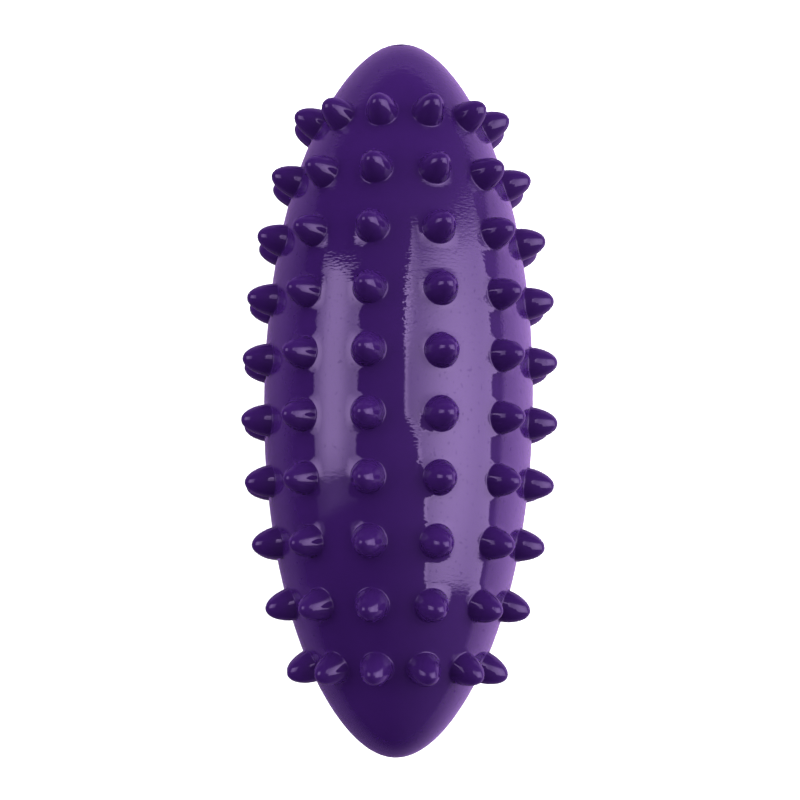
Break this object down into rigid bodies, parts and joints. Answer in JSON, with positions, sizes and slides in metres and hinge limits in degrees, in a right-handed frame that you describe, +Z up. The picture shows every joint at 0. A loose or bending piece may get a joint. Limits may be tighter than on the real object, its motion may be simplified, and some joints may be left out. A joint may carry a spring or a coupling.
{
  "type": "spiked massage roller",
  "caption": "Hollow ellipsoid massage roller in glossy plastic, covered in rings of blunt spikes, with a stoppered air valve in one end.",
  "frame": {"origin": "on the ground, below the middle of the roller as it lies on its side on the lowest spikes of its middle rings", "axes": "+X along the roller's long axis, out of the valve end; +Z up; +Y across the roller"},
  "size_m": [0.16, 0.0692, 0.0691],
  "materials": {
    "shell_plastic": "gloss",
    "valve_rubber": "satin",
    "stopper_plastic": "satin"
  },
  "bodies": {
    "roller": {"spiked_shell": "shell_plastic", "valve_insert": "valve_rubber"},
    "stopper": {"valve_stopper": "stopper_plastic"}
  },
  "joints": [
    {"name": "stopper_pull", "type": "slide", "parent": "roller", "child": "stopper", "axis": [1, 0, 0], "range_m": [0, 0.015]}
  ]
}
